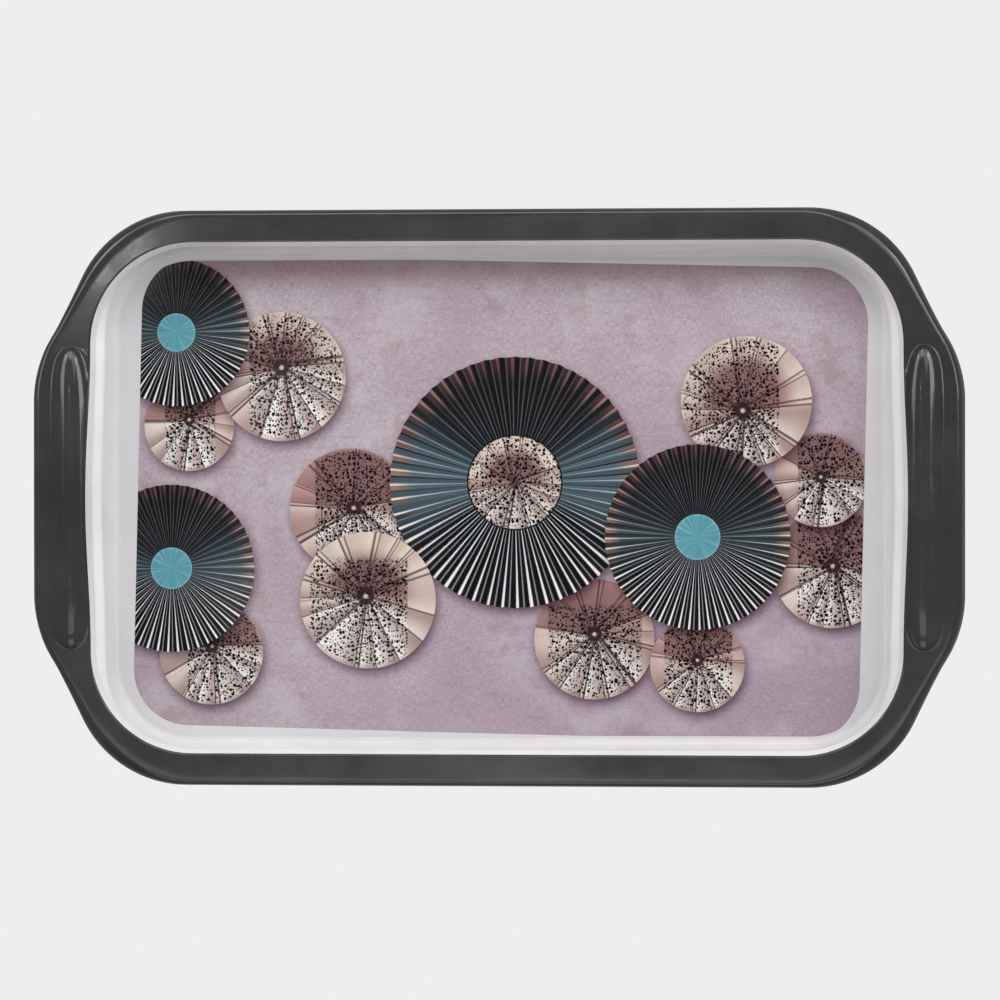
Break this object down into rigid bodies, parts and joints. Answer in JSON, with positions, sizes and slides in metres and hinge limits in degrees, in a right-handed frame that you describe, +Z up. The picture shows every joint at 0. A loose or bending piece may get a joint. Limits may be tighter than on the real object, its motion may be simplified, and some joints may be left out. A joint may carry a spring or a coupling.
{
  "type": "serving tray",
  "caption": "Oblong two-tone moulded serving tray with a dark outer shell, end handles with raised grips, a white liner and a printed floor.",
  "frame": {"origin": "middle of the plane that the foot ring rests on", "axes": "+Z up out of the tray, +X along its length towards one handle, +Y across it"},
  "size_m": [0.4, 0.247, 0.033],
  "materials": {
    "shell_melamine": "glossy dark grey moulded melamine with a faint mottle and fine scratches",
    "liner_melamine": "glossy white moulded melamine",
    "decal_print": "printed sheet under clear glossy glaze: pleated paper fans on lilac linen"
  },
  "bodies": {
    "root": {"outer_shell": "shell_melamine", "inner_liner": "liner_melamine", "printed_decal": "decal_print"}
  },
  "joints": []
}
